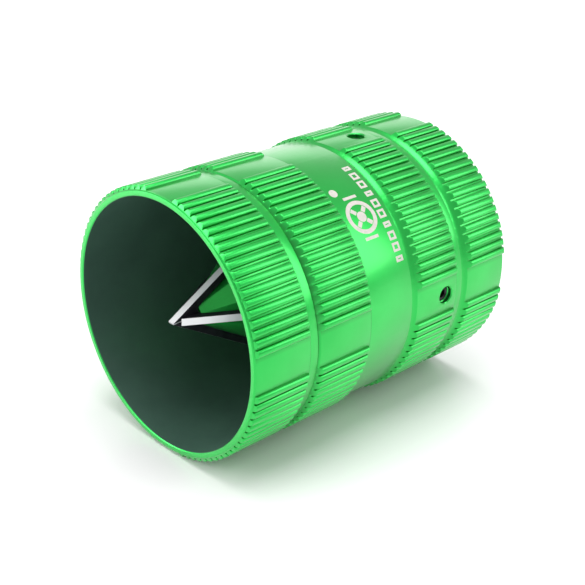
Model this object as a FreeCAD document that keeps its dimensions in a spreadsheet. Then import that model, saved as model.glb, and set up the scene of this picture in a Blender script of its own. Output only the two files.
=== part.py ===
"""Hand tool that deburrs the inside and the outside of a pipe's end.  Millimetres.

The barrel lies on its side: its axis runs along +Y, the mouth faces -Y, and two ribs beside the lowest
smooth panel touch the ground at Z = 0.  Every profile is drawn with its axis on the body's own Y axis
and its mouth end at Y = 0, and each body's Placement then sets it in the tool.
"""
import FreeCAD, Part
import math
import os

import Sketcher

SIZES = {
    # barrel, radii
    "rib_radius": 40.0,
    "panel_radius": 38.9,
    "middle_radius": 38.85,
    "ring_radius": 38.6,
    "relief_radius": 38.2,
    "face_radius": 38.55,
    "bore_radius": 37.0,
    "seat_radius": 35.5,
    # barrel, stations along the axis from the mouth
    "band_one_front": 0.5,
    "band_one_full": 0.95,
    "band_one_rear": 19.1,
    "ring_one_front": 20.0,
    "ring_one_rear": 22.9,
    "band_two_front": 23.15,
    "band_two_full": 24.55,
    "band_two_rear": 42.5,
    "middle_front": 43.2,
    "middle_rear": 60.2,
    "band_three_front": 60.4,
    "band_three_rear": 79.0,
    "ring_two_front": 79.9,
    "ring_two_rear": 82.5,
    "band_four_front": 82.7,
    "barrel_length": 101.6,
    "seat_station": 67.0,
    "cove_radius": 3.5,
    "edge_break": 0.3,
    "rear_chamfer": 0.5,
    # ribs and panels round the barrel
    "rib_pitch_angle": 3.9,
    "ribs_per_quadrant": 19,
    "quadrants": 4,
    "valley_width": 0.5,
    "rib_shoulder": 1.0,
    "shoulder_lift": 0.03,
    # cone carrier
    "cone_half_angle": 30.0,
    "edge_apex_station": 3.2,
    "blade_proud": 2.1,
    "shell_wall": 4.0,
    "nose_station": 12.4,
    "flange_width": 2.0,
    "funnel_radius": 28.5,
    "carrier_rear": 84.0,
    "carrier_clearance": 0.03,
    # blades
    "blade_thickness": 2.3,
    "slot_width": 2.4,
    "slot_clearance": 0.05,
    "long_tip_gap": 0.15,
    "short_tip_gap": 1.6,
    "tail_outer_radius": 31.8,
    "tail_inner_radius": 28.6,
    "tail_rear": 80.0,
    # set screws
    "screw_station": 75.2,
    "screw_radius": 2.5,
    "screw_hole_radius": 2.6,
    "screw_length": 5.6,
    "screw_point_radius": 1.75,
    "screw_edge": 0.35,
    "socket_flats": 2.5,
    "socket_depth": 2.6,
}

SIDES = (("top", 0.0), ("right", 90.0), ("bottom", 180.0), ("left", 270.0))


class Size:
    """A number together with the spreadsheet expression that gives it."""

    def __init__(self, value, text):
        self.value = value
        self.text = text

    def __add__(self, other):
        other = as_size(other)
        return Size(self.value + other.value, f"({self.text} + {other.text})")

    def __sub__(self, other):
        other = as_size(other)
        return Size(self.value - other.value, f"({self.text} - {other.text})")

    def __mul__(self, other):
        other = as_size(other)
        return Size(self.value * other.value, f"({self.text} * {other.text})")

    def __truediv__(self, other):
        other = as_size(other)
        return Size(self.value / other.value, f"({self.text} / {other.text})")

    def __neg__(self):
        return Size(-self.value, f"(0 - {self.text})")


def as_size(number):
    return number if isinstance(number, Size) else Size(float(number), repr(float(number)))


def cell(alias):
    return Size(float(SIZES[alias]), f"Sizes.{alias}")


def root(size):
    return Size(math.sqrt(size.value), f"sqrt({size.text})")


def sine(angle):
    return Size(math.sin(math.radians(angle.value)), f"sin({angle.text} * 1 deg)")


def cosine(angle):
    return Size(math.cos(math.radians(angle.value)), f"cos({angle.text} * 1 deg)")


def tangent(angle):
    return Size(math.tan(math.radians(angle.value)), f"tan({angle.text} * 1 deg)")


def turned(point, angle):
    """A point of the cross-section, turned about the axis from +Z towards +X."""
    across, up = point
    return (across * cosine(angle) + up * sine(angle), up * cosine(angle) - across * sine(angle))


def mirrored(point):
    return (-point[0], point[1])


def fill_sheet(doc):
    sheet = doc.addObject("Spreadsheet::Sheet", "Sizes")
    for row, (alias, value) in enumerate(SIZES.items(), start=1):
        sheet.set(f"A{row}", alias)
        sheet.set(f"B{row}", str(value))
        sheet.setAlias(f"B{row}", alias)
    doc.recompute()


def origin_feature(body, role):
    return next(feature for feature in body.Origin.OriginFeatures if feature.Role == role)


def new_body(doc, name):
    body = doc.addObject("PartDesign::Body", name)
    body.Label = name
    return body


def new_sketch(body, name, plane_role):
    sketch = body.newObject("Sketcher::SketchObject", name)
    sketch.AttachmentSupport = [(origin_feature(body, plane_role), "")]
    sketch.MapMode = "FlatFace"
    return sketch


def bind(sketch, constraint, size):
    index = sketch.addConstraint(constraint)
    sketch.setExpression(f"Constraints[{index}]", size.text)


def pin_point(sketch, geometry, end, point):
    """Hold one point of the sketch at its place: on an axis, or at its distance from it."""
    for size, kind, axis in ((point[0], "DistanceX", -2), (point[1], "DistanceY", -1)):
        if size.value == 0:
            sketch.addConstraint(Sketcher.Constraint("PointOnObject", geometry, end, axis))
        else:
            bind(sketch, Sketcher.Constraint(kind, -1, 1, geometry, end, size.value), size)


def draw_outline(sketch, corners, arcs=None):
    """Close a loop through the corners.  arcs maps a side's number to its centre and its radius."""
    arcs = arcs or {}
    vectors = [FreeCAD.Vector(across.value, up.value, 0) for across, up in corners]
    ends = []
    for side, start in enumerate(vectors):
        stop = vectors[(side + 1) % len(vectors)]
        if side not in arcs:
            geometry = sketch.addGeometry(Part.LineSegment(start, stop), False)
            ends.append((geometry, 1, 2))
            continue
        centre, radius = arcs[side]
        middle = FreeCAD.Vector(centre[0].value, centre[1].value, 0)
        first = math.atan2(start.y - middle.y, start.x - middle.x)
        last = math.atan2(stop.y - middle.y, stop.x - middle.x)
        anticlockwise = (last - first) % (2 * math.pi) < math.pi
        low, high = (first, last) if anticlockwise else (last, first)
        circle = Part.Circle(middle, FreeCAD.Vector(0, 0, 1), radius.value)
        geometry = sketch.addGeometry(Part.ArcOfCircle(circle, low, high), False)
        ends.append((geometry, 1, 2) if anticlockwise else (geometry, 2, 1))
        bind(sketch, Sketcher.Constraint("Radius", geometry, radius.value), radius)
    for side, (geometry, first_end, last_end) in enumerate(ends):
        following, following_end, _ = ends[(side + 1) % len(ends)]
        sketch.addConstraint(Sketcher.Constraint("Coincident", geometry, last_end, following, following_end))
        pin_point(sketch, geometry, first_end, corners[side])


def draw_circle(sketch, centre, radius):
    middle = FreeCAD.Vector(centre[0].value, centre[1].value, 0)
    geometry = sketch.addGeometry(Part.Circle(middle, FreeCAD.Vector(0, 0, 1), radius.value), False)
    pin_point(sketch, geometry, 3, centre)
    bind(sketch, Sketcher.Constraint("Radius", geometry, radius.value), radius)


def revolve(body, sketch, name):
    feature = body.newObject("PartDesign::Revolution", name)
    feature.Profile = sketch
    feature.ReferenceAxis = (sketch, ["H_Axis"])
    feature.Angle = 360.0
    sketch.Visibility = False
    return feature


def symmetric_pad(body, sketch, name, length):
    feature = body.newObject("PartDesign::Pad", name)
    feature.Profile = sketch
    feature.SideType = "Symmetric"
    feature.setExpression("Length", length.text)
    return feature


def symmetric_pocket(body, sketch, name, length):
    feature = body.newObject("PartDesign::Pocket", name)
    feature.Profile = sketch
    feature.SideType = "Symmetric"
    feature.setExpression("Length", length.text)
    return feature


def upward_pocket(body, sketch, name, length):
    feature = body.newObject("PartDesign::Pocket", name)
    feature.Profile = sketch
    feature.Reversed = True
    feature.setExpression("Length", length.text)
    return feature


def round_the_axis(body, original, name):
    """Repeat a feature once in every quadrant."""
    pattern = body.newObject("PartDesign::PolarPattern", name)
    pattern.Originals = [original]
    pattern.Axis = (origin_feature(body, "Y_Axis"), [""])
    pattern.Angle = 360.0
    pattern.setExpression("Occurrences", cell("quadrants").text)
    body.Tip = pattern
    return pattern


def cone_radius(station, apex):
    return (station - apex) * tangent(cell("cone_half_angle"))


def cone_station(radius, apex):
    return apex + radius / tangent(cell("cone_half_angle"))


def blade_width():
    return cell("blade_proud") + cell("shell_wall") + cell("blade_proud")


def shell_apex():
    """Where the cone's outer face would meet the axis."""
    return cell("edge_apex_station") + cell("blade_proud") / sine(cell("cone_half_angle"))


def funnel_apex():
    return shell_apex() + cell("shell_wall") / sine(cell("cone_half_angle"))


def barrel_profile():
    """Half section of the turned blank, as (station, radius) corners, with its two coves."""
    top = cell("rib_radius")
    cove = cell("cove_radius")
    rise = top - cell("relief_radius")
    cove_run = root(rise * (cove * 2 - rise))
    corners = [
        (as_size(0), cell("bore_radius") + cell("edge_break")),
        (as_size(0), cell("face_radius")),
        (cell("edge_break"), cell("middle_radius")),
        (cell("band_one_front"), cell("middle_radius")),
        (cell("band_one_full"), top),
        (cell("band_one_rear"), top),
        (cell("ring_one_front"), cell("ring_radius")),
        (cell("ring_one_rear"), cell("ring_radius")),
        (cell("band_two_front"), cell("relief_radius")),
        (cell("band_two_full"), top),
        (cell("band_two_rear"), top),
        (cell("middle_front"), cell("middle_radius")),
        (cell("middle_rear"), cell("middle_radius")),
    ]
    arcs = {}
    for front, rear, ring_front, ring_rear in (
        ("band_three_front", "band_three_rear", "ring_two_front", "ring_two_rear"),
        ("band_four_front", None, None, None),
    ):
        arcs[len(corners)] = ((cell(front), cell("relief_radius") + cove), cove)
        corners.append((cell(front), cell("relief_radius")))
        corners.append((cell(front) + cove_run, top))
        if rear:
            corners.append((cell(rear), top))
            corners.append((cell(ring_front), cell("ring_radius")))
            corners.append((cell(ring_rear), cell("ring_radius")))
    corners += [
        (cell("barrel_length") - cell("rear_chamfer"), top),
        (cell("barrel_length"), top - cell("rear_chamfer")),
        (cell("barrel_length"), cell("seat_radius") + cell("rear_chamfer")),
        (cell("barrel_length") - cell("rear_chamfer"), cell("seat_radius")),
        (cell("seat_station"), cell("seat_radius")),
        (cell("seat_station"), cell("bore_radius")),
        (cell("edge_break"), cell("bore_radius")),
    ]
    return corners, arcs


def shoulder_points():
    """One rounded flank of a rib, seen from the middle of the valley beside it."""
    half_valley = cell("valley_width") / 2
    centre_height = cell("rib_radius") + cell("shoulder_lift") - cell("rib_shoulder")
    outside = cell("rib_radius") + 1
    foot = (half_valley, cell("panel_radius"))
    wall = (half_valley, centre_height)
    centre = (half_valley + cell("rib_shoulder"), centre_height)
    crest = (half_valley + cell("rib_shoulder"), centre_height + cell("rib_shoulder"))
    above = (half_valley + cell("rib_shoulder"), outside)
    return foot, wall, centre, crest, above


def resting_height():
    """Height of the axis over the ground: the tool rests where a rib's crest meets its rounded flank."""
    rib = SIZES["rib_radius"]
    shoulder = SIZES["rib_shoulder"]
    across = SIZES["valley_width"] / 2 + shoulder
    up = rib + SIZES["shoulder_lift"] - shoulder
    reach = math.hypot(across, up)
    panel_edge = 180 / SIZES["quadrants"] - SIZES["rib_pitch_angle"] * SIZES["ribs_per_quadrant"] / 2
    from_centre = math.acos((reach**2 + rib**2 - shoulder**2) / (2 * reach * rib))
    bearing = math.radians(panel_edge) + math.atan2(across, up) - from_centre
    return rib * math.cos(bearing)


def relief_outline(sketch, right_turn, left_turn, floor_arc):
    """Draw what is cut between two ribs, each flank turned to the angle of its own rib."""
    right = [turned(point, right_turn) for point in shoulder_points()]
    left = [turned(mirrored(point), left_turn) for point in shoulder_points()]
    foot, wall, centre, crest, above = range(5)
    order = [left[foot], right[foot], right[wall], right[crest], right[above],
             left[above], left[crest], left[wall]]
    shoulder = cell("rib_shoulder")
    arcs = {2: (right[centre], shoulder), 6: (left[centre], shoulder)}
    if floor_arc:
        half_valley = cell("valley_width") / 2
        floor = root(half_valley * half_valley + cell("panel_radius") * cell("panel_radius"))
        arcs[0] = ((as_size(0), as_size(0)), floor)
        outside = cell("rib_radius") + 1
        reach = half_valley + shoulder
        arcs[4] = ((as_size(0), as_size(0)), root(reach * reach + outside * outside))
    draw_outline(sketch, order, arcs)


def make_barrel(doc):
    body = new_body(doc, "barrel")
    profile = new_sketch(body, "barrel_half_section", "YZ_Plane")
    corners, arcs = barrel_profile()
    draw_outline(profile, corners, arcs)
    revolve(body, profile, "barrel_blank")
    doc.recompute()

    pitch = cell("rib_pitch_angle")
    ribs = cell("ribs_per_quadrant")
    full_quadrant = as_size(360) / cell("quadrants")
    first_rib = (full_quadrant - pitch * (ribs - 1)) / 2
    through = cell("barrel_length") * 2 + 10

    panel_sketch = new_sketch(body, "panel_section", "XZ_Plane")
    panel_edge = first_rib - pitch / 2
    relief_outline(panel_sketch, panel_edge, -panel_edge, True)
    panel = symmetric_pocket(body, panel_sketch, "panel_cut", through)
    doc.recompute()
    round_the_axis(body, panel, "panels")
    doc.recompute()

    valley_sketch = new_sketch(body, "valley_section", "XZ_Plane")
    first_valley = first_rib + pitch / 2
    relief_outline(valley_sketch, first_valley, first_valley, False)
    valley = symmetric_pocket(body, valley_sketch, "valley_cut", through)
    doc.recompute()
    pattern = body.newObject("PartDesign::MultiTransform", "valleys")
    steps = []
    for name, angle, count in (
        ("valleys_in_quadrant", pitch * (ribs - 2), ribs - 1),
        ("valley_quadrants", as_size(360), cell("quadrants")),
    ):
        step = body.newObject("PartDesign::PolarPattern", name)
        step.Axis = (origin_feature(body, "Y_Axis"), [""])
        step.setExpression("Angle", angle.text)
        step.setExpression("Occurrences", count.text)
        steps.append(step)
    pattern.Originals = [valley]
    pattern.Transformations = steps
    body.Tip = pattern
    doc.recompute()

    hole_sketch = new_sketch(body, "screw_hole_circle", "XY_Plane")
    draw_circle(hole_sketch, (as_size(0), cell("screw_station")), cell("screw_hole_radius"))
    hole = upward_pocket(body, hole_sketch, "screw_hole", cell("rib_radius") + 1)
    doc.recompute()
    round_the_axis(body, hole, "screw_holes")
    return body


def make_carrier(doc):
    body = new_body(doc, "blade_carrier")
    fit = cell("carrier_clearance")
    nose = cell("nose_station")
    flange = cell("seat_station") - cell("flange_width")
    funnel = cell("funnel_radius")
    corners = [
        (nose, as_size(0)),
        (nose, cone_radius(nose, shell_apex())),
        (flange, cone_radius(flange, shell_apex())),
        (flange, cell("bore_radius") - fit),
        (cell("seat_station"), cell("bore_radius") - fit),
        (cell("seat_station"), cell("seat_radius") - fit),
        (cell("carrier_rear") - cell("edge_break"), cell("seat_radius") - fit),
        (cell("carrier_rear"), cell("seat_radius") - fit - cell("edge_break")),
        (cell("carrier_rear"), funnel + cell("rear_chamfer")),
        (cell("carrier_rear") - cell("rear_chamfer"), funnel),
        (cone_station(funnel, funnel_apex()), funnel),
        (funnel_apex(), as_size(0)),
    ]
    profile = new_sketch(body, "carrier_half_section", "YZ_Plane")
    draw_outline(profile, corners)
    revolve(body, profile, "carrier_blank")
    doc.recompute()

    slot_front = nose - 2
    slot_rear = cell("tail_rear") + cell("slot_clearance")
    slot_top = cell("tail_outer_radius") + cell("slot_clearance")
    slot_sketch = new_sketch(body, "slot_outline", "YZ_Plane")
    draw_outline(slot_sketch, [
        (slot_front, as_size(0)),
        (slot_rear, as_size(0)),
        (slot_rear, slot_top),
        (slot_front, slot_top),
    ])
    slot = symmetric_pocket(body, slot_sketch, "slot", cell("slot_width"))
    doc.recompute()
    round_the_axis(body, slot, "slots")
    doc.recompute()

    hole_sketch = new_sketch(body, "tapped_hole_circle", "XY_Plane")
    draw_circle(hole_sketch, (as_size(0), cell("screw_station")), cell("screw_hole_radius"))
    hole_sketch.setExpression(".AttachmentOffset.Base.z", cell("tail_outer_radius").text)
    hole = upward_pocket(body, hole_sketch, "tapped_hole", cell("rib_radius") - cell("tail_outer_radius"))
    doc.recompute()
    round_the_axis(body, hole, "tapped_holes")
    return body


def make_blade(doc, name, tip_gap):
    """A flat blade: two ground edges along the cone, and a tail under the carrier's rim."""
    body = new_body(doc, name)
    edge_apex = cell("edge_apex_station")
    inner_apex = edge_apex + blade_width() / sine(cell("cone_half_angle"))
    tail_outer = cell("tail_outer_radius")
    tail_inner = cell("tail_inner_radius")
    outline = new_sketch(body, name + "_outline", "YZ_Plane")
    draw_outline(outline, [
        (cone_station(tip_gap, edge_apex), tip_gap),
        (cone_station(tip_gap, inner_apex), tip_gap),
        (cone_station(tail_inner, inner_apex), tail_inner),
        (cell("tail_rear"), tail_inner),
        (cell("tail_rear"), tail_outer),
        (cone_station(tail_outer, edge_apex), tail_outer),
    ])
    symmetric_pad(body, outline, name + "_plate", cell("blade_thickness"))
    return body


def make_set_screw(doc, name):
    """Flat point socket set screw, its axis on the body's Y axis and its point at Y = 0."""
    body = new_body(doc, name)
    radius = cell("screw_radius")
    length = cell("screw_length")
    edge = cell("screw_edge")
    profile = new_sketch(body, name + "_half_section", "YZ_Plane")
    draw_outline(profile, [
        (as_size(0), as_size(0)),
        (as_size(0), cell("screw_point_radius")),
        (radius - cell("screw_point_radius"), radius),
        (length - edge, radius),
        (length, radius - edge),
        (length, as_size(0)),
    ])
    revolve(body, profile, name + "_shank")
    doc.recompute()
    socket_sketch = new_sketch(body, name + "_socket_outline", "XZ_Plane")
    corner_radius = cell("socket_flats") / 2 / cosine(as_size(30))
    draw_outline(socket_sketch, [
        (corner_radius * cosine(as_size(step)), corner_radius * sine(as_size(step)))
        for step in (0.0, 60.0, 120.0, 180.0, 240.0, 300.0)
    ])
    socket_sketch.setExpression(".AttachmentOffset.Base.z", f"-{length.text}")
    socket = body.newObject("PartDesign::Pocket", name + "_socket")
    socket.Profile = socket_sketch
    socket.Reversed = True
    socket.setExpression("Length", cell("socket_depth").text)
    return body


def check_document(doc, bodies):
    doc.recompute()
    for feature in doc.Objects:
        if "Invalid" in feature.State or "Error" in feature.State:
            raise RuntimeError(f"{feature.Name} failed: {feature.State}")
    for body in bodies:
        if body.Shape.isNull() or not body.Shape.isValid() or len(body.Shape.Solids) != 1:
            raise RuntimeError(f"{body.Label} is not one valid solid")


def main():
    doc = FreeCAD.newDocument("deburring_tool")
    fill_sheet(doc)
    barrel = make_barrel(doc)
    in_tool = FreeCAD.Placement(
        FreeCAD.Vector(0, -SIZES["barrel_length"] / 2, resting_height()), FreeCAD.Rotation())
    axis = FreeCAD.Vector(0, 1, 0)
    barrel.Placement = in_tool
    carrier = make_carrier(doc)
    carrier.Placement = in_tool
    bodies = [barrel, carrier]
    for side, angle in SIDES:
        to_side = in_tool * FreeCAD.Placement(FreeCAD.Vector(), FreeCAD.Rotation(axis, angle))
        gap = "long_tip_gap" if side in ("top", "bottom") else "short_tip_gap"
        blade = make_blade(doc, "blade_" + side, cell(gap))
        blade.Placement = to_side
        screw = make_set_screw(doc, "set_screw_" + side)
        point_height = SIZES["tail_outer_radius"] + SIZES["slot_clearance"]
        on_tail = FreeCAD.Placement(
            FreeCAD.Vector(0, SIZES["screw_station"], point_height),
            FreeCAD.Rotation(FreeCAD.Vector(1, 0, 0), 90))
        screw.Placement = to_side * on_tail
        bodies += [blade, screw]

    check_document(doc, bodies)
    os.makedirs("parts", exist_ok=True)
    for body in bodies:
        body.Shape.exportStep(f"parts/{body.Label}.step")
        print(f"{body.Label}: {body.Shape.Volume / 1000:.2f} cm3, {len(body.Shape.Faces)} faces")


main()
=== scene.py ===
import math

import bmesh
import bpy
from mathutils import Matrix, Vector


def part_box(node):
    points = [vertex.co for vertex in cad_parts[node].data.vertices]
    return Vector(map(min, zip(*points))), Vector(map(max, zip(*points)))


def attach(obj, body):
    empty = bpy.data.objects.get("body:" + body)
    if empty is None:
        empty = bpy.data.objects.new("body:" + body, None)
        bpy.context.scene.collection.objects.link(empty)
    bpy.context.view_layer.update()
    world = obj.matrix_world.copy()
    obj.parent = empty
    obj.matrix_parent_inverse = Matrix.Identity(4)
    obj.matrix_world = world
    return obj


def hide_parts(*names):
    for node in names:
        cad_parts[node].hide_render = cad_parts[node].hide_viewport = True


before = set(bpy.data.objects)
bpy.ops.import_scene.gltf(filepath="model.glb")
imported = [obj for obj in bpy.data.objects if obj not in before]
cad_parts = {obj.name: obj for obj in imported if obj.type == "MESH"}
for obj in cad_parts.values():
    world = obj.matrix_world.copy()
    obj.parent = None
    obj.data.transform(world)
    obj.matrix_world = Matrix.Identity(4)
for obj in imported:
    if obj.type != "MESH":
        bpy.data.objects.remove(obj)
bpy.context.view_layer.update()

low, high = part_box("barrel")
AXIS_UP = (low.z + high.z) / 2
IN_TOOL = Matrix.Translation((0, low.y, AXIS_UP)) @ Matrix.Scale(0.001, 4)

# barrel, radii
CREST = 40.0
PANEL = 38.9
MIDDLE = 38.85
RING = 38.6
RELIEF = 38.2
FACE = 38.55
BORE = 37.0
SEAT = 35.5
# barrel, stations
LENGTH = 101.6
SEAT_START = 67.0
FRONT_BAND = (0.5, 20.0)
SECOND_BAND = (23.15, 43.2)
THIRD_BAND = (60.4, 79.9)
REAR_BAND = 82.7
# barrel, corners and hollows
COVE = 3.5
COVE_STEPS = 5
EDGE_BREAK = 0.3
REAR_CHAMFER = 0.5
RIB_EDGE = 0.13
COVE_EDGE = 0.1
SHARP = 0.07
TURNED = 0.08
# ribs
PITCH = 3.9
RIBS = 19
VALLEY = 0.5
SHOULDER = 1.0
SHOULDER_LIFT = 0.03
SHOULDER_STEPS = 4
# an extra row this far from a rib's foot, over which the painted shade there fades out
FOOT_LINE = 0.35
# painted shade, darkening the green from a valley's foot up to the crest, and along the ribs' ends, by
# station: it stands for the shade in the valleys and at the rib feet
FLANK_PAINTED_SHADE = (0.4, 0.85, 0.30, 0.02, 0.0, 0.0)
FOOT_PAINTED_SHADE = {FRONT_BAND[1]: 0.55, SECOND_BAND[0]: 0.65, SECOND_BAND[1]: 0.6, THIRD_BAND[1]: 0.55}
PANEL_COLUMNS = (-6.0, -4.0, -2.0, 0.0, 2.0, 4.0, 6.0)
# cone and blades
HALF_ANGLE = math.radians(30)
EDGE_APEX = 3.2
PROUD = 2.1
SHELL = 4.0
NOSE = 12.4
FUNNEL = 28.5
CARRIER_REAR = 84.0
BLADE = 2.3
SLOT = 2.4
TAIL_OUTER = 31.8
TAIL_INNER = 28.6
TAIL_REAR = 80.0
# set screws and their holes
SCREW_STATION = 75.2
SCREW = 2.5
SCREW_LENGTH = 5.6
SOCKET_FLATS = 2.5
SOCKET_DEPTH = 2.6
THREAD = 0.8
HOLE = 2.6
HOLE_COLUMNS = 48
FULL_TURN = 2 * math.pi
SIDES = {"top": 0, "right": 90, "bottom": 180, "left": 270}


def about_axis(degrees):
    """A turn about the tool's axis, from the top towards the right side."""
    return Matrix.Rotation(math.radians(degrees), 4, "Y")


# ---------------------------------------------------------------- finishes

class Finish:
    """A procedural material and short ways to add its nodes."""

    def __init__(self, name):
        self.material = bpy.data.materials.new(name)
        self.material.use_nodes = True
        self.tree = self.material.node_tree
        self.shader = self.tree.nodes["Principled BSDF"]
        self.place = self.tree.nodes.new("ShaderNodeTexCoord").outputs["Object"]

    def set(self, **sockets):
        for name, value in sockets.items():
            self.shader.inputs[name.replace("_", " ")].default_value = value

    def add(self, kind, **settings):
        node = self.tree.nodes.new(kind)
        for name, value in settings.items():
            setattr(node, name, value)
        return node

    def link(self, source, target):
        self.tree.links.new(source, target)

    def value(self, target, source):
        """Feed a socket with a number or with another node's output."""
        if isinstance(source, (int, float)):
            target.default_value = source
        else:
            self.link(source, target)

    def total(self, first, second):
        node = self.add("ShaderNodeMath", operation="ADD")
        self.link(first, node.inputs[0])
        self.link(second, node.inputs[1])
        return node.outputs[0]

    def noise(self, scale, stretch=(1, 1, 1), detail=3.0):
        """Noise over the piece, with cells so many to the metre along each axis."""
        mapping = self.add("ShaderNodeMapping")
        self.link(self.place, mapping.inputs["Vector"])
        mapping.inputs["Scale"].default_value = stretch
        node = self.add("ShaderNodeTexNoise")
        self.link(mapping.outputs[0], node.inputs["Vector"])
        node.inputs["Scale"].default_value = scale
        node.inputs["Detail"].default_value = detail
        node.inputs["Roughness"].default_value = 0.55
        return node.outputs["Fac"]

    def spread(self, source, low_in, high_in, low_out, high_out):
        node = self.add("ShaderNodeMapRange", clamp=True)
        self.link(source, node.inputs["Value"])
        for name, value in (("From Min", low_in), ("From Max", high_in),
                            ("To Min", low_out), ("To Max", high_out)):
            node.inputs[name].default_value = value
        return node.outputs["Result"]

    def blend(self, amount, first, second):
        """Mix two colours, each a tuple or another node's output."""
        node = self.add("ShaderNodeMix", data_type="RGBA")
        self.value(node.inputs[0], amount)
        for socket, colour in ((node.inputs[6], first), (node.inputs[7], second)):
            if isinstance(colour, tuple):
                socket.default_value = (*colour, 1)
            else:
                self.link(colour, socket)
        return node.outputs[2]

    def relief(self, height, strength, depth, under=None):
        bump = self.add("ShaderNodeBump")
        bump.inputs["Strength"].default_value = strength
        bump.inputs["Distance"].default_value = depth
        self.link(height, bump.inputs["Height"])
        if under:
            self.link(under, bump.inputs["Normal"])
        return bump.outputs[0]

    def feed(self, **sockets):
        for name, source in sockets.items():
            self.link(source, self.shader.inputs[name.replace("_", " ")])


def anodised_finish(name, deep, bright, coat, rough, metal=0.9):
    """Dyed oxide over turned aluminium: rings from the lathe, faint clouding and tiny pits.

    Painted shade: the colour is darker where a piece's groove attribute says so, to stand for the shade in
    valleys and at rib feet.
    """
    skin = Finish(name)
    lathe = skin.noise(1.0, (60, 9000, 60), detail=2.0)
    feed_bands = skin.noise(1.0, (4, 700, 4), detail=2.0)
    cloud = skin.noise(55.0, detail=4.0)
    grain = skin.noise(5200.0, detail=2.0)
    tint = skin.blend(skin.spread(cloud, 0.3, 0.7, 0.0, 1.0), deep, bright)
    tint = skin.blend(skin.spread(feed_bands, 0.35, 0.65, 0.0, 0.06), tint, deep)
    groove = skin.add("ShaderNodeAttribute", attribute_name="groove").outputs["Fac"]
    # painted shade: the groove attribute darkens the green towards 0.30 of the deep colour
    tint = skin.blend(groove, tint, tuple(0.30 * part for part in deep))
    gloss = skin.total(skin.spread(lathe, 0.3, 0.7, rough - 0.015, rough + 0.015),
                       skin.spread(grain, 0.35, 0.65, -0.01, 0.01))
    turned = skin.relief(lathe, 0.05, 0.000002)
    pitted = skin.relief(grain, 0.05, 0.000002, turned)
    skin.feed(Base_Color=tint, Roughness=gloss, Normal=pitted)
    skin.set(Metallic=metal, Coat_Weight=coat, Coat_Roughness=0.2, Coat_IOR=1.45)
    return skin.material


def ground_steel_finish():
    """The blades' ground edges: bright, with wheel marks across the edge."""
    skin = Finish("ground_edge")
    wheel = skin.noise(1.0, (9000, 2500, 2500), detail=2.0)
    stain = skin.noise(120.0, detail=3.0)
    tint = skin.blend(skin.spread(stain, 0.35, 0.7, 0.0, 0.5),
                      (0.86, 0.87, 0.88), (0.74, 0.76, 0.78))
    skin.feed(Base_Color=tint, Roughness=skin.spread(wheel, 0.3, 0.7, 0.3, 0.46),
              Normal=skin.relief(wheel, 0.12, 0.00002))
    skin.set(Metallic=0.75)
    return skin.material


def blade_side_finish():
    """The blades' flat sides: dark, with a violet cast."""
    skin = Finish("blade_side")
    scale = skin.noise(260.0, detail=4.0)
    brush = skin.noise(1.0, (900, 8000, 900), detail=2.0)
    tint = skin.blend(skin.spread(scale, 0.35, 0.65, 0.0, 1.0),
                      (0.050, 0.046, 0.062), (0.085, 0.078, 0.098))
    skin.feed(Base_Color=tint, Roughness=skin.spread(brush, 0.3, 0.7, 0.36, 0.52),
              Normal=skin.relief(brush, 0.1, 0.00002))
    skin.set(Metallic=0.8)
    return skin.material


def black_oxide_finish():
    """Blackened screw steel, a little rubbed."""
    skin = Finish("black_oxide")
    grain = skin.noise(1800.0, detail=3.0)
    rub = skin.noise(420.0, detail=2.0)
    tint = skin.blend(skin.spread(rub, 0.45, 0.75, 0.0, 1.0),
                      (0.012, 0.012, 0.014), (0.040, 0.040, 0.044))
    skin.feed(Base_Color=tint, Roughness=skin.spread(grain, 0.3, 0.7, 0.32, 0.5),
              Normal=skin.relief(grain, 0.15, 0.00002))
    skin.set(Metallic=0.6)
    return skin.material


def laser_mark_finish():
    """Oxide bleached by a laser: pale, matt and a little uneven, with the raster's fine lines."""
    skin = Finish("laser_mark")
    raster = skin.noise(1.0, (400, 12000, 400), detail=1.0)
    cloud = skin.noise(900.0, detail=3.0)
    tint = skin.blend(skin.spread(cloud, 0.3, 0.7, 0.0, 1.0), (0.66, 0.60, 0.57), (0.56, 0.53, 0.49))
    tint = skin.blend(skin.spread(raster, 0.4, 0.7, 0.0, 0.35), tint, (0.46, 0.50, 0.44))
    skin.feed(Base_Color=tint, Roughness=skin.spread(cloud, 0.3, 0.7, 0.55, 0.75),
              Normal=skin.relief(raster, 0.1, 0.00001))
    return skin.material


GREEN = anodised_finish("green_anodise", (0.006, 0.48, 0.058), (0.012, 0.55, 0.074), 0.8, 0.33)
# painted shade: a darker copy of the anodised green for the cone deep in the mouth
GREEN_CONE_PAINTED_SHADE = anodised_finish("green_anodise_cone_painted_shade", (0.005, 0.34, 0.038), (0.010, 0.40, 0.050), 0.6, 0.33)
# painted shade: a dark grey-green copy of the anodised green for the bore, standing for the shade and dark
# reflections inside the tube
GREEN_BORE_PAINTED_SHADE = anodised_finish("green_anodise_bore_painted_shade", (0.046, 0.108, 0.080), (0.060, 0.138, 0.100),
                               coat=0.3, rough=0.6, metal=0.35)
EDGE_STEEL = ground_steel_finish()
SIDE_STEEL = blade_side_finish()
BLACK_OXIDE = black_oxide_finish()
MARK = laser_mark_finish()


# ---------------------------------------------------------------- making pieces

def new_verts(grown):
    """The vertices among what an operator made."""
    return [element for element in grown["geom"] if isinstance(element, bmesh.types.BMVert)]


def new_edges(grown):
    return [element for element in grown["geom"] if isinstance(element, bmesh.types.BMEdge)]


def set_in_tool(bm, name):
    """A mesh object in the frame's metres, at the origin, from a piece drawn about the axis."""
    bm.transform(IN_TOOL)
    mesh = bpy.data.meshes.new(name)
    bm.to_mesh(mesh)
    bm.free()
    piece = bpy.data.objects.new(name, mesh)
    bpy.context.scene.collection.objects.link(piece)
    return piece


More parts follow.
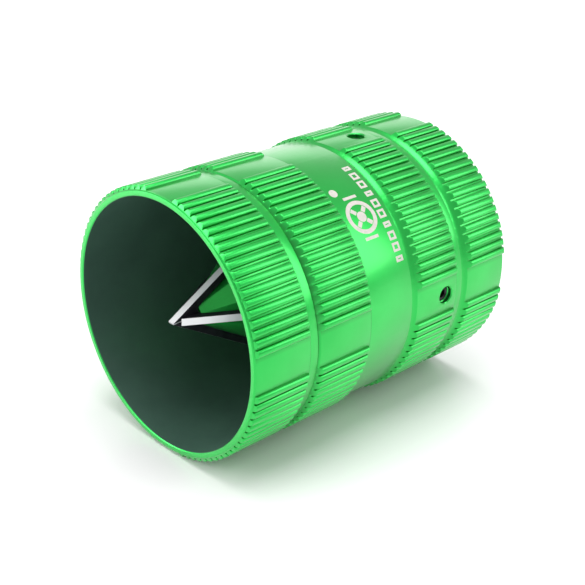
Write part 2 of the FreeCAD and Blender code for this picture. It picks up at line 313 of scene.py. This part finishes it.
def bake_modifiers(piece):
    """Make what the modifiers show the piece's own mesh."""
    shown = piece.evaluated_get(bpy.context.evaluated_depsgraph_get())
    mesh = bpy.data.meshes.new_from_object(shown)
    piece.modifiers.clear()
    old = piece.data
    piece.data = mesh
    bpy.data.meshes.remove(old)


def cut_away(piece, cutters):
    """Cut the piece with the cutters, which are then thrown away."""
    for cutter in cutters:
        cut = piece.modifiers.new(cutter.name, "BOOLEAN")
        cut.object = cutter
        cut.solver = "EXACT"
    bake_modifiers(piece)
    for cutter in cutters:
        mesh = cutter.data
        bpy.data.objects.remove(cutter)
        bpy.data.meshes.remove(mesh)


def smooth(piece, degrees):
    """Shade the piece smooth but for its edges sharper than so many degrees."""
    piece.data.shade_smooth()
    piece.data.set_sharp_from_angle(angle=math.radians(degrees))


def paint(piece, materials, choose=None):
    """Give the piece its materials; choose says which one a face at a place in the tool gets."""
    piece.data.materials.clear()
    for material in materials:
        piece.data.materials.append(material)
    to_tool = IN_TOOL.inverted()
    for face in piece.data.polygons:
        face.material_index = choose(to_tool @ face.center, face.normal) if choose else 0


def closed(points):
    """Each point with the next one round."""
    return zip(points, points[1:] + points[:1])


def spin_round(bm, points, pairs, columns, axis):
    """Join the points in pairs and spin them once round the axis, Y or Z."""
    edges = [bm.edges.new(pair) for pair in pairs]
    direction = (0, 1, 0) if axis == "Y" else (0, 0, 1)
    bmesh.ops.spin(bm, geom=points + edges, cent=(0, 0, 0), axis=direction, dvec=(0, 0, 0),
                   angle=FULL_TURN, steps=columns, use_merge=True, use_normal_flip=False,
                   use_duplicate=False)


def turn_round(bm, corners, columns, axis="Y"):
    """Turn a solid from a closed half section of (station along the axis, radius) corners."""
    if axis == "Y":
        points = [bm.verts.new((0, station, radius)) for station, radius in corners]
    else:
        points = [bm.verts.new((radius, 0, station)) for station, radius in corners]
    spin_round(bm, points, closed(points), columns, axis)
    bmesh.ops.remove_doubles(bm, verts=bm.verts, dist=1e-5)
    bmesh.ops.recalc_face_normals(bm, faces=bm.faces)


def four_holes(corners, name):
    """A cutter for the set screws' holes, from a half section of (radius in the tool, radius)."""
    bm = bmesh.new()
    turn_round(bm, corners, HOLE_COLUMNS, axis="Z")
    bm.transform(Matrix.Translation((0, SCREW_STATION, 0)))
    first = list(bm.verts) + list(bm.edges) + list(bm.faces)
    for degrees in (90, 180, 270):
        copied = new_verts(bmesh.ops.duplicate(bm, geom=first))
        bmesh.ops.transform(bm, matrix=about_axis(degrees), verts=copied)
    return set_in_tool(bm, name)


# ---------------------------------------------------------------- barrel

def rib_flank():
    """One side of a rib, from the valley's foot to the crest, as (angle, radius, painted shade).

    Its shoulder is an arc that meets the crest smoothly.
    """
    across, up = VALLEY / 2 + SHOULDER, CREST + SHOULDER_LIFT - SHOULDER
    reach = math.hypot(across, up)
    leaning = math.acos((reach**2 + CREST**2 - SHOULDER**2) / (2 * reach * CREST))
    bearing = math.atan2(across, up) - leaning
    top = math.atan2(CREST * math.cos(bearing) - up, across - CREST * math.sin(bearing))
    points = [(VALLEY / 2, math.sqrt(PANEL**2 - VALLEY**2 / 4))]
    for step in range(SHOULDER_STEPS + 1):
        turn = top * step / SHOULDER_STEPS
        points.append((across - SHOULDER * math.cos(turn), up + SHOULDER * math.sin(turn)))
    return [(math.degrees(math.atan2(x, z)), math.hypot(x, z), shade)
            for (x, z), shade in zip(points, FLANK_PAINTED_SHADE)]


def barrel_columns():
    """Every column round the barrel, as (angle, radius that its ribs reach, painted shade)."""
    flank = rib_flank()
    panel_edge = 45 - PITCH * RIBS / 2
    columns = []
    for quadrant in range(4):
        start = 90 * quadrant
        columns += [(start - panel_edge - angle, radius, shade)
                    for angle, radius, shade in reversed(flank)]
        columns += [(start + angle, PANEL, 0.0) for angle in PANEL_COLUMNS]
        columns += [(start + panel_edge + angle, radius, shade) for angle, radius, shade in flank]
        for number in range(1, RIBS):
            valley = start + panel_edge + PITCH * number
            columns += [(valley - angle, radius, shade) for angle, radius, shade in reversed(flank)]
            columns.append((valley, PANEL, 0.0))
            columns += [(valley + angle, radius, shade) for angle, radius, shade in flank]
    return columns


def on_slope(foot, top, crest):
    """Where a slope that would run on to its top is cut off at the crest."""
    share = (crest - foot[1]) / (top[1] - foot[1])
    return foot[0] + (top[0] - foot[0]) * share, crest


def cove(station, crest):
    """The hollow that runs out of a groove up to the crest."""
    whole = math.acos((RELIEF + COVE - crest) / COVE)
    turns = [whole * step / COVE_STEPS for step in range(COVE_STEPS + 1)]
    return [(station + COVE * math.sin(turn), RELIEF + COVE - COVE * math.cos(turn)) for turn in turns]


def half_section(crest):
    """The barrel's closed half section where its ribs reach the crest, with its edges rounded."""
    edges = []

    def corner(point, size):
        edges.append((Vector(point), size))

    def run_up(station):
        hollow = cove(station, crest)
        for point in hollow[:-1]:
            corner(point, 0)
        corner(hollow[-1], COVE_EDGE)

    corner((0, BORE + EDGE_BREAK), SHARP)
    corner((0, FACE), TURNED)
    corner((EDGE_BREAK, MIDDLE), TURNED)
    start, end = FRONT_BAND
    corner((start, MIDDLE), 0)
    corner(on_slope((start, MIDDLE), (start + 0.45, CREST), crest), RIB_EDGE)
    corner(on_slope((end, RING), (end - 0.9, CREST), crest), RIB_EDGE)
    corner((end, RING), 0)
    corner((end + FOOT_LINE, RING), 0)
    start, end = SECOND_BAND
    corner((start - 0.25, RING), SHARP)
    corner((start, RELIEF), 0)
    corner(on_slope((start, RELIEF), (start + 1.4, CREST), crest), RIB_EDGE)
    corner(on_slope((end, MIDDLE), (end - 0.7, CREST), crest), RIB_EDGE)
    corner((end, MIDDLE), 0)
    corner((end + FOOT_LINE, MIDDLE), 0)
    start, end = THIRD_BAND
    corner((start - 0.2, MIDDLE), SHARP)
    run_up(start)
    corner(on_slope((end, RING), (end - 0.9, CREST), crest), RIB_EDGE)
    corner((end, RING), 0)
    corner((end + FOOT_LINE, RING), 0)
    corner((REAR_BAND - 0.2, RING), SHARP)
    run_up(REAR_BAND)
    corner((min(LENGTH - 0.06, LENGTH - REAR_CHAMFER + CREST - crest), crest), COVE_EDGE)
    corner((LENGTH, min(CREST - REAR_CHAMFER, crest - 0.06)), TURNED)
    corner((LENGTH, SEAT + REAR_CHAMFER), COVE_EDGE)
    corner((LENGTH - REAR_CHAMFER, SEAT), COVE_EDGE)
    corner((SEAT_START, SEAT), 0)
    corner((SEAT_START, BORE), 0)
    corner((EDGE_BREAK, BORE), SHARP)

    points = []
    for number, (point, size) in enumerate(edges):
        if not size:
            points.append(point)
            continue
        before = edges[number - 1][0] - point
        after = edges[(number + 1) % len(edges)][0] - point
        size = min(size, 0.4 * before.length, 0.4 * after.length)
        first, last = point + before.normalized() * size, point + after.normalized() * size
        points += [first, (first + last) / 4 + point / 2, last]
    return points


def screw_hole_cutter():
    """What a tap leaves: a threaded bore with a small countersink, once on every side."""
    deep, inside, sink, outside = HOLE + 0.25, 33.0, HOLE + 0.4, 40.5
    corners = [(inside, 0.0), (inside, HOLE)]
    for thread in range(4):
        start = 34.6 + THREAD * thread
        corners += [(start + 0.1, HOLE), (start + 0.35, deep), (start + 0.45, deep), (start + 0.7, HOLE)]
    corners += [(38.55, HOLE), (38.95, sink), (outside, sink), (outside, 0.0)]
    return four_holes(corners, "screw_hole_cutter")


def make_barrel():
    """The ribbed tube: turned as a plain ring of columns, which are then moved to the ribs."""
    columns = barrel_columns()
    bm = bmesh.new()
    row_of = bm.verts.layers.int.new("row")
    points = [bm.verts.new((0, station, radius)) for station, radius in half_section(CREST)]
    for row, point in enumerate(points):
        point[row_of] = row
    spin_round(bm, points, closed(points), len(columns), "Y")
    sections = [half_section(reach) for _, reach, _ in columns]
    # painted shade for each vertex, which the finishes read as the groove attribute
    groove = bm.verts.layers.float.new("groove")
    for vert in bm.verts:
        number = round(math.atan2(vert.co.x, vert.co.z) * len(columns) / FULL_TURN) % len(columns)
        angle, reach, shade = columns[number]
        turn = math.radians(angle)
        station, radius = sections[number][vert[row_of]]
        vert.co = (radius * math.sin(turn), station, radius * math.cos(turn))
        # painted shade: the flank's value on the ribs, and elsewhere the rib foot's value by station
        on_rib = radius > reach - 0.03
        vert[groove] = shade if on_rib else FOOT_PAINTED_SHADE.get(round(station, 2), 0.0)
    bmesh.ops.recalc_face_normals(bm, faces=bm.faces)
    piece = set_in_tool(bm, "ribbed_barrel")
    cut_away(piece, [screw_hole_cutter()])
    smooth(piece, 32)

    def bore_or_outside(centre, normal):
        return int(math.hypot(centre.x, centre.z) < BORE + 0.05)

    # the bore gets the green darkened as painted shade
    paint(piece, [GREEN, GREEN_BORE_PAINTED_SHADE], bore_or_outside)
    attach(piece, "barrel")
    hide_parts("barrel")


# ---------------------------------------------------------------- cone carrier

def cone_radius(station, apex):
    """How far out the cone with this apex is at a station; cone_station is the reverse."""
    return (station - apex) * math.tan(HALF_ANGLE)


def cone_station(radius, apex):
    return apex + radius / math.tan(HALF_ANGLE)


def box_cutter(name, size, centre, degrees):
    bm = bmesh.new()
    bmesh.ops.create_cube(bm, size=1)
    bmesh.ops.scale(bm, vec=size, verts=bm.verts)
    bmesh.ops.translate(bm, vec=centre, verts=bm.verts)
    bm.transform(about_axis(degrees))
    return set_in_tool(bm, name)


def make_carrier():
    """The slotted cone that holds the blades, with the funnel behind it and its rim in the seat."""
    shell_apex = EDGE_APEX + PROUD / math.sin(HALF_ANGLE)
    funnel_apex = shell_apex + SHELL / math.sin(HALF_ANGLE)
    flange = SEAT_START - 2
    in_bore, in_seat = BORE - 0.05, SEAT - 0.05
    corners = [
        (NOSE, 0.0),
        (NOSE, cone_radius(NOSE, shell_apex) - 0.25),
        (NOSE + 0.25, cone_radius(NOSE + 0.25, shell_apex)),
        (flange - 1.0, cone_radius(flange - 1.0, shell_apex)),
        (flange, cone_radius(flange, shell_apex) + 0.4),
        (flange, in_bore - 0.35),
        (flange + 0.35, in_bore),
        (SEAT_START, in_bore),
        (SEAT_START, in_seat),
        (CARRIER_REAR - 0.3, in_seat),
        (CARRIER_REAR, in_seat - 0.3),
        (CARRIER_REAR, FUNNEL + 0.5),
        (CARRIER_REAR - 0.5, FUNNEL),
        (cone_station(FUNNEL, funnel_apex), FUNNEL),
        (funnel_apex, 0.0),
    ]
    bm = bmesh.new()
    turn_round(bm, corners, 160)
    piece = set_in_tool(bm, "cone_carrier")
    front = NOSE - 2
    length = TAIL_REAR + 0.05 - front
    reach = 2 * (TAIL_OUTER + 0.05)
    cutters = [box_cutter("slot_" + name, (SLOT, length, reach), (0, front + length / 2, 0), degrees)
               for name, degrees in (("upright", 0), ("level", 90))]
    rim = TAIL_OUTER - 1
    cutters.append(four_holes([(rim, 0.0), (rim, HOLE), (CREST, HOLE), (CREST, 0.0)], "rim_hole_cutter"))
    cut_away(piece, cutters)
    smooth(piece, 28)
    # the cone gets the darker green that stands for the shade in the mouth
    paint(piece, [GREEN_CONE_PAINTED_SHADE])
    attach(piece, "barrel")
    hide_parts("blade_carrier")


# ---------------------------------------------------------------- blades

def make_blade(side, degrees):
    """A flat blade with two ground edges along the cone and its tail under the carrier's rim."""
    gap = 0.15 if side in ("top", "bottom") else 1.6    # the long blades meet, the short ones stop at them
    inner_apex = EDGE_APEX + (PROUD + SHELL + PROUD) / math.sin(HALF_ANGLE)
    outline = [
        (cone_station(gap, EDGE_APEX), gap),
        (cone_station(gap, inner_apex), gap),
        (cone_station(TAIL_INNER, inner_apex), TAIL_INNER),
        (TAIL_REAR, TAIL_INNER),
        (TAIL_REAR, TAIL_OUTER),
        (cone_station(TAIL_OUTER, EDGE_APEX), TAIL_OUTER),
    ]
    bm = bmesh.new()
    corners = [bm.verts.new((-BLADE / 2, station, radius)) for station, radius in outline]
    grown = bmesh.ops.extrude_face_region(bm, geom=[bm.faces.new(corners)])
    bmesh.ops.translate(bm, vec=(BLADE, 0, 0), verts=new_verts(grown))
    bmesh.ops.recalc_face_normals(bm, faces=bm.faces)
    bmesh.ops.bevel(bm, geom=list(bm.edges), offset=0.09, affect="EDGES", segments=2, profile=0.5,
                    material=-1, clamp_overlap=True)
    bm.transform(about_axis(degrees))
    piece = set_in_tool(bm, "cutting_blade_" + side)
    smooth(piece, 20)
    flat = about_axis(degrees).to_3x3() @ Vector((1, 0, 0))

    def side_or_edge(centre, normal):
        return int(abs(normal.dot(flat)) > 0.8)

    paint(piece, [EDGE_STEEL, SIDE_STEEL], side_or_edge)
    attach(piece, "barrel")
    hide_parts("blade_" + side)


# ---------------------------------------------------------------- set screws

def make_set_screw(side, degrees):
    """Socket set screw with its thread's ridges, a hexagon socket and a flat point."""
    foot = TAIL_OUTER + 0.05
    top = foot + SCREW_LENGTH
    corners = [(foot, 0.0), (foot, 1.75)]
    for thread in range(6):
        start = foot + 0.65 + THREAD * thread
        corners += [(start, 2.12), (start + 0.33, SCREW), (start + 0.45, SCREW)]
    corners += [(top, 2.1), (top, 1.7)]
    bm = bmesh.new()
    points = [bm.verts.new((across, 0, height)) for height, across in corners]
    spin_round(bm, points, zip(points, points[1:]), HOLE_COLUMNS, "Z")
    bmesh.ops.remove_doubles(bm, verts=bm.verts, dist=1e-5)
    rim = [edge for edge in bm.edges if edge.is_boundary]
    bottom = top - SOCKET_DEPTH
    for height, share in ((top - 0.2, 1.0), (bottom, 1.0), (bottom - 0.45, 0.05)):
        grown = bmesh.ops.extrude_edge_only(bm, edges=rim)
        rim = new_edges(grown)
        for vert in new_verts(grown):
            turn = math.atan2(vert.co.y, vert.co.x)
            from_flat = (turn % (math.pi / 3)) - math.pi / 6
            reach = share * SOCKET_FLATS / 2 / math.cos(from_flat)
            vert.co = (reach * math.cos(turn), reach * math.sin(turn), height)
    bmesh.ops.holes_fill(bm, edges=rim, sides=0)
    bmesh.ops.recalc_face_normals(bm, faces=bm.faces)
    bm.transform(Matrix.Translation((0, SCREW_STATION, 0)))
    bm.transform(about_axis(degrees))
    piece = set_in_tool(bm, "socket_screw_" + side)
    smooth(piece, 28)
    paint(piece, [BLACK_OXIDE])
    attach(piece, "set_screw_" + side)
    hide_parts("set_screw_" + side)


# ---------------------------------------------------------------- marks on the middle band

def flat_ring(bm, centre, outer, inner, columns=48):
    """A flat ring, or a disc where inner is 0, drawn in the plane that is wrapped round the band."""
    rim = bmesh.ops.create_circle(bm, cap_ends=False, radius=outer, segments=columns)["verts"]
    edges = list({edge for vert in rim for edge in vert.link_edges})
    made = list(rim)
    for radius in (inner + (outer - inner) * 0.5, inner or 0.02):
        grown = bmesh.ops.extrude_edge_only(bm, edges=edges)
        edges = new_edges(grown)
        for vert in new_verts(grown):
            vert.co = vert.co.normalized() * radius
        made += new_verts(grown)
    if not inner:
        bmesh.ops.holes_fill(bm, edges=edges, sides=0)
    bmesh.ops.translate(bm, vec=(*centre, 0), verts=made)


def flat_bar(bm, centre, size, parts, turn=0.0):
    """A flat bar in parts each way, so that it bends with the band."""
    made = bmesh.ops.create_grid(bm, x_segments=parts, y_segments=parts, size=0.5)["verts"]
    bmesh.ops.scale(bm, vec=(*size, 1), verts=made)
    bmesh.ops.rotate(bm, cent=(0, 0, 0), matrix=Matrix.Rotation(turn, 3, "Z"), verts=made)
    bmesh.ops.translate(bm, vec=(*centre, 0), verts=made)


def make_marks():
    """Plain laser marks: a dot, a sign for a pipe's end with four blades, and a row of squares."""
    arc = math.radians(1) * MIDDLE
    bm = bmesh.new()
    flat_ring(bm, (30.4 * arc, 46.0), 1.35, 0)
    across, along = 44.15 * arc, 50.1
    flat_ring(bm, (across, along), 5.2, 3.9, 64)
    for end in (-6.5, 6.5):
        flat_bar(bm, (across + end, along), (0.9, 5.0), 4)
    flat_ring(bm, (across, along), 1.6, 0)
    for number in range(4):
        turn = math.pi / 4 + number * math.pi / 2
        out = Vector((math.cos(turn), math.sin(turn))) * 2.75
        flat_bar(bm, (across + out.x, along + out.y), (1.9, 1.3), 3, turn)
    stroke = 0.7
    for number in range(10):
        across, along = arc * (20.4 + 5.05 * number), 57.4
        width = 2.6 if number % 3 else 1.7
        side = (width - stroke) / 2
        for end in (1.0, -1.0):
            flat_bar(bm, (across, along + end), (width, stroke), 2)
        for end in (side, -side):
            flat_bar(bm, (across + end, along), (stroke, 1.3), 2)
    bmesh.ops.recalc_face_normals(bm, faces=bm.faces)
    bmesh.ops.solidify(bm, geom=list(bm.faces), thickness=0.02)
    for vert in bm.verts:
        turn = vert.co.x / MIDDLE
        radius = MIDDLE + 0.012 + vert.co.z
        vert.co = (radius * math.sin(turn), vert.co.y, radius * math.cos(turn))
    bmesh.ops.recalc_face_normals(bm, faces=bm.faces)
    piece = set_in_tool(bm, "band_marks")
    paint(piece, [MARK])
    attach(piece, "barrel")


# ---------------------------------------------------------------- studio

def make_floor():
    bm = bmesh.new()
    bmesh.ops.create_grid(bm, x_segments=1, y_segments=1, size=6)
    mesh = bpy.data.meshes.new("studio_floor")
    bm.to_mesh(mesh)
    bm.free()
    floor = bpy.data.objects.new("studio_floor", mesh)
    bpy.context.scene.collection.objects.link(floor)
    skin = Finish("white_floor")
    cloud = skin.noise(2.0, detail=2.0)
    tint = skin.blend(skin.spread(cloud, 0.3, 0.7, 0.0, 1.0), (0.90, 0.90, 0.90), (0.92, 0.92, 0.92))
    skin.feed(Base_Color=tint)
    skin.set(Roughness=0.3, Specular_IOR_Level=0.35)
    floor.data.materials.append(skin.material)


def add_softbox(name, place, size, power):
    """A rectangular light that looks at the middle of the tool."""
    light = bpy.data.lights.new(name, "AREA")
    light.shape = "RECTANGLE"
    light.size, light.size_y = size
    light.energy = power
    lamp = bpy.data.objects.new(name, light)
    bpy.context.scene.collection.objects.link(lamp)
    lamp.location = place
    lamp.rotation_mode = "QUATERNION"
    lamp.rotation_quaternion = (Vector((0, 0, AXIS_UP)) - Vector(place)).to_track_quat("-Z", "Y")


def make_studio():
    make_floor()
    world = bpy.data.worlds.new("studio")
    bpy.context.scene.world = world
    world.use_nodes = True
    sky = world.node_tree.nodes["Background"]
    sky.inputs["Color"].default_value = (1, 1, 1, 1)
    sky.inputs["Strength"].default_value = 0.67
    add_softbox("left_back", (-1.10, 0.85, 0.30), (1.5, 0.70), 2.3)
    add_softbox("left_front", (-0.75, -1.05, 0.45), (1.2, 0.7), 11.0)
    add_softbox("right_back", (0.83, 0.84, 0.66), (0.5, 0.95), 4.7)
    add_softbox("above", (0.05, 0.0, 1.35), (1.0, 1.0), 13.0)
    bpy.context.scene.view_settings.view_transform = "Standard"


def make_camera():
    """From the right and above the mouth; last it is turned a little about the tool's axis."""
    data = bpy.data.cameras.new("camera")
    data.sensor_width = 36
    data.lens = 76.35
    data.shift_x, data.shift_y = 0.0005, -0.0020
    data.clip_start, data.clip_end = 0.01, 20
    camera = bpy.data.objects.new("camera", data)
    bpy.context.scene.collection.objects.link(camera)
    sight = Vector((-0.6607, 0.6251, -0.4158))
    camera.location = (0.248026, -0.235586, 0.190732)
    camera.rotation_mode = "QUATERNION"
    camera.rotation_quaternion = sight.to_track_quat("-Z", "Y")
    bpy.context.view_layer.update()
    axis = Matrix.Translation((0, 0, AXIS_UP))
    camera.matrix_world = axis @ about_axis(-1.6) @ axis.inverted() @ camera.matrix_world
    bpy.context.scene.camera = camera


make_barrel()
make_carrier()
for side, degrees in SIDES.items():
    make_blade(side, degrees)
    make_set_screw(side, degrees)
make_marks()
make_studio()
make_camera()
